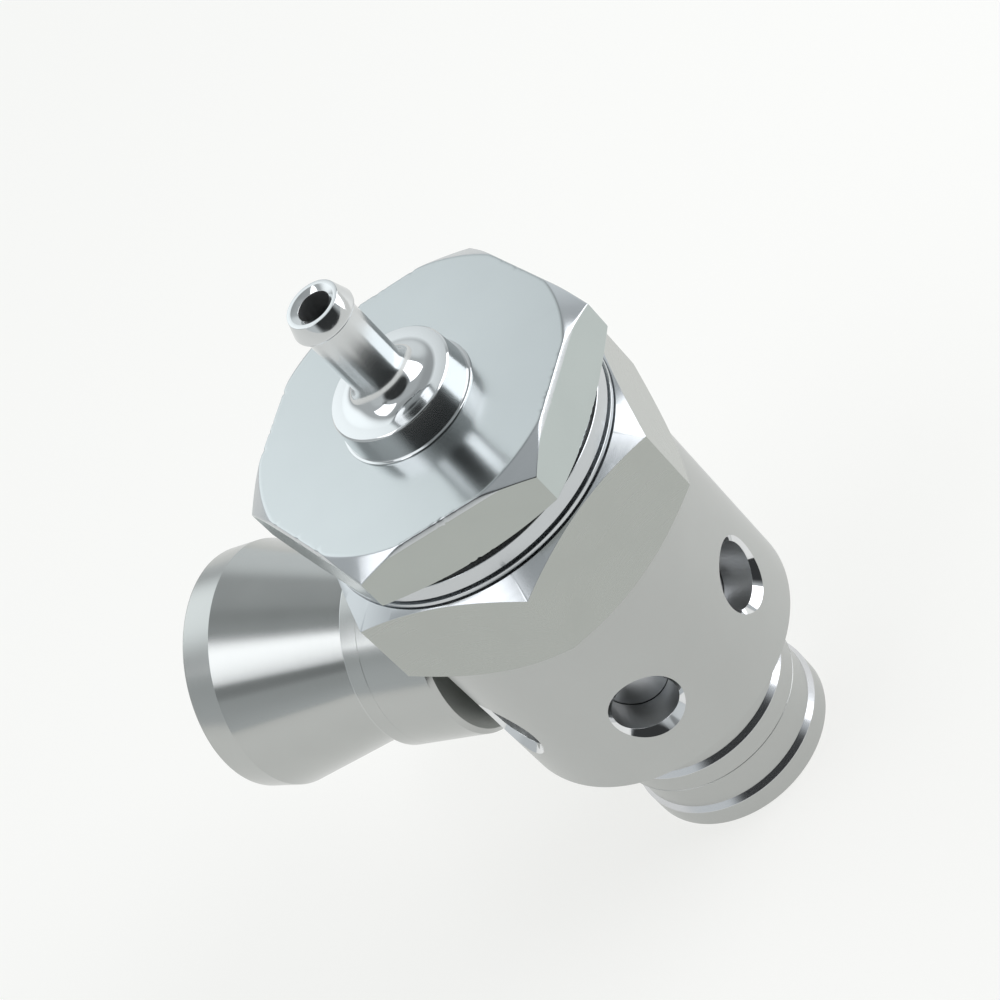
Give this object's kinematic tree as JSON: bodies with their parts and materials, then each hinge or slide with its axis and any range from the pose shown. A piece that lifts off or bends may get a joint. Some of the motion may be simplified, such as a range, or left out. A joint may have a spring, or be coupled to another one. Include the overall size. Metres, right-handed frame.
{
  "type": "blow off valve",
  "caption": "Piston blow off valve with a beaded hose spigot, round vent holes, a hexagon cap, a barbed vacuum nipple and a flared side trumpet.",
  "frame": {"origin": "centre of the inlet spigot's end face, on the piston's axis", "axes": "+Z along the piston's axis from the inlet to the vacuum nipple, -X along the side outlet to the trumpet's mouth"},
  "size_m": [0.0781, 0.0472, 0.0957],
  "materials": {
    "body_aluminium": "satin turned and milled, clear anodised",
    "cap_aluminium": "semi-gloss, clear anodised",
    "trumpet_aluminium": "satin turned, clear anodised",
    "polished_aluminium": "polished",
    "piston_aluminium": "fine turned",
    "steel": "satin",
    "spring_steel": "bright drawn",
    "black_rubber": "matte",
    "guide_plastic": "matte"
  },
  "bodies": {
    "housing": {"valve_body": "body_aluminium", "cap": "cap_aluminium", "cap_o_ring": "black_rubber", "vacuum_nipple": "polished_aluminium", "nipple_seal": "black_rubber", "preload_shim": "steel", "upper_spring_seat": "piston_aluminium", "main_spring": "spring_steel", "outlet_adapter": "body_aluminium", "trumpet": "trumpet_aluminium", "trumpet_o_ring": "black_rubber", "trumpet_grub_screw": "steel"},
    "piston_group": {"piston": "piston_aluminium", "piston_o_ring_lower": "black_rubber", "piston_guide_ring": "guide_plastic", "piston_o_ring_upper": "black_rubber", "face_seal": "black_rubber", "seal_retainer": "piston_aluminium", "retainer_screw": "steel", "lower_spring_washer": "steel"}
  },
  "joints": [
    {"name": "piston_slide", "type": "slide", "parent": "housing", "child": "piston_group", "axis": [0, 0, 1], "range_m": [0, 0.011], "stiffness_N_per_m": 2500, "springref_m": -0.012, "deforming": ["main_spring"]}
  ]
}
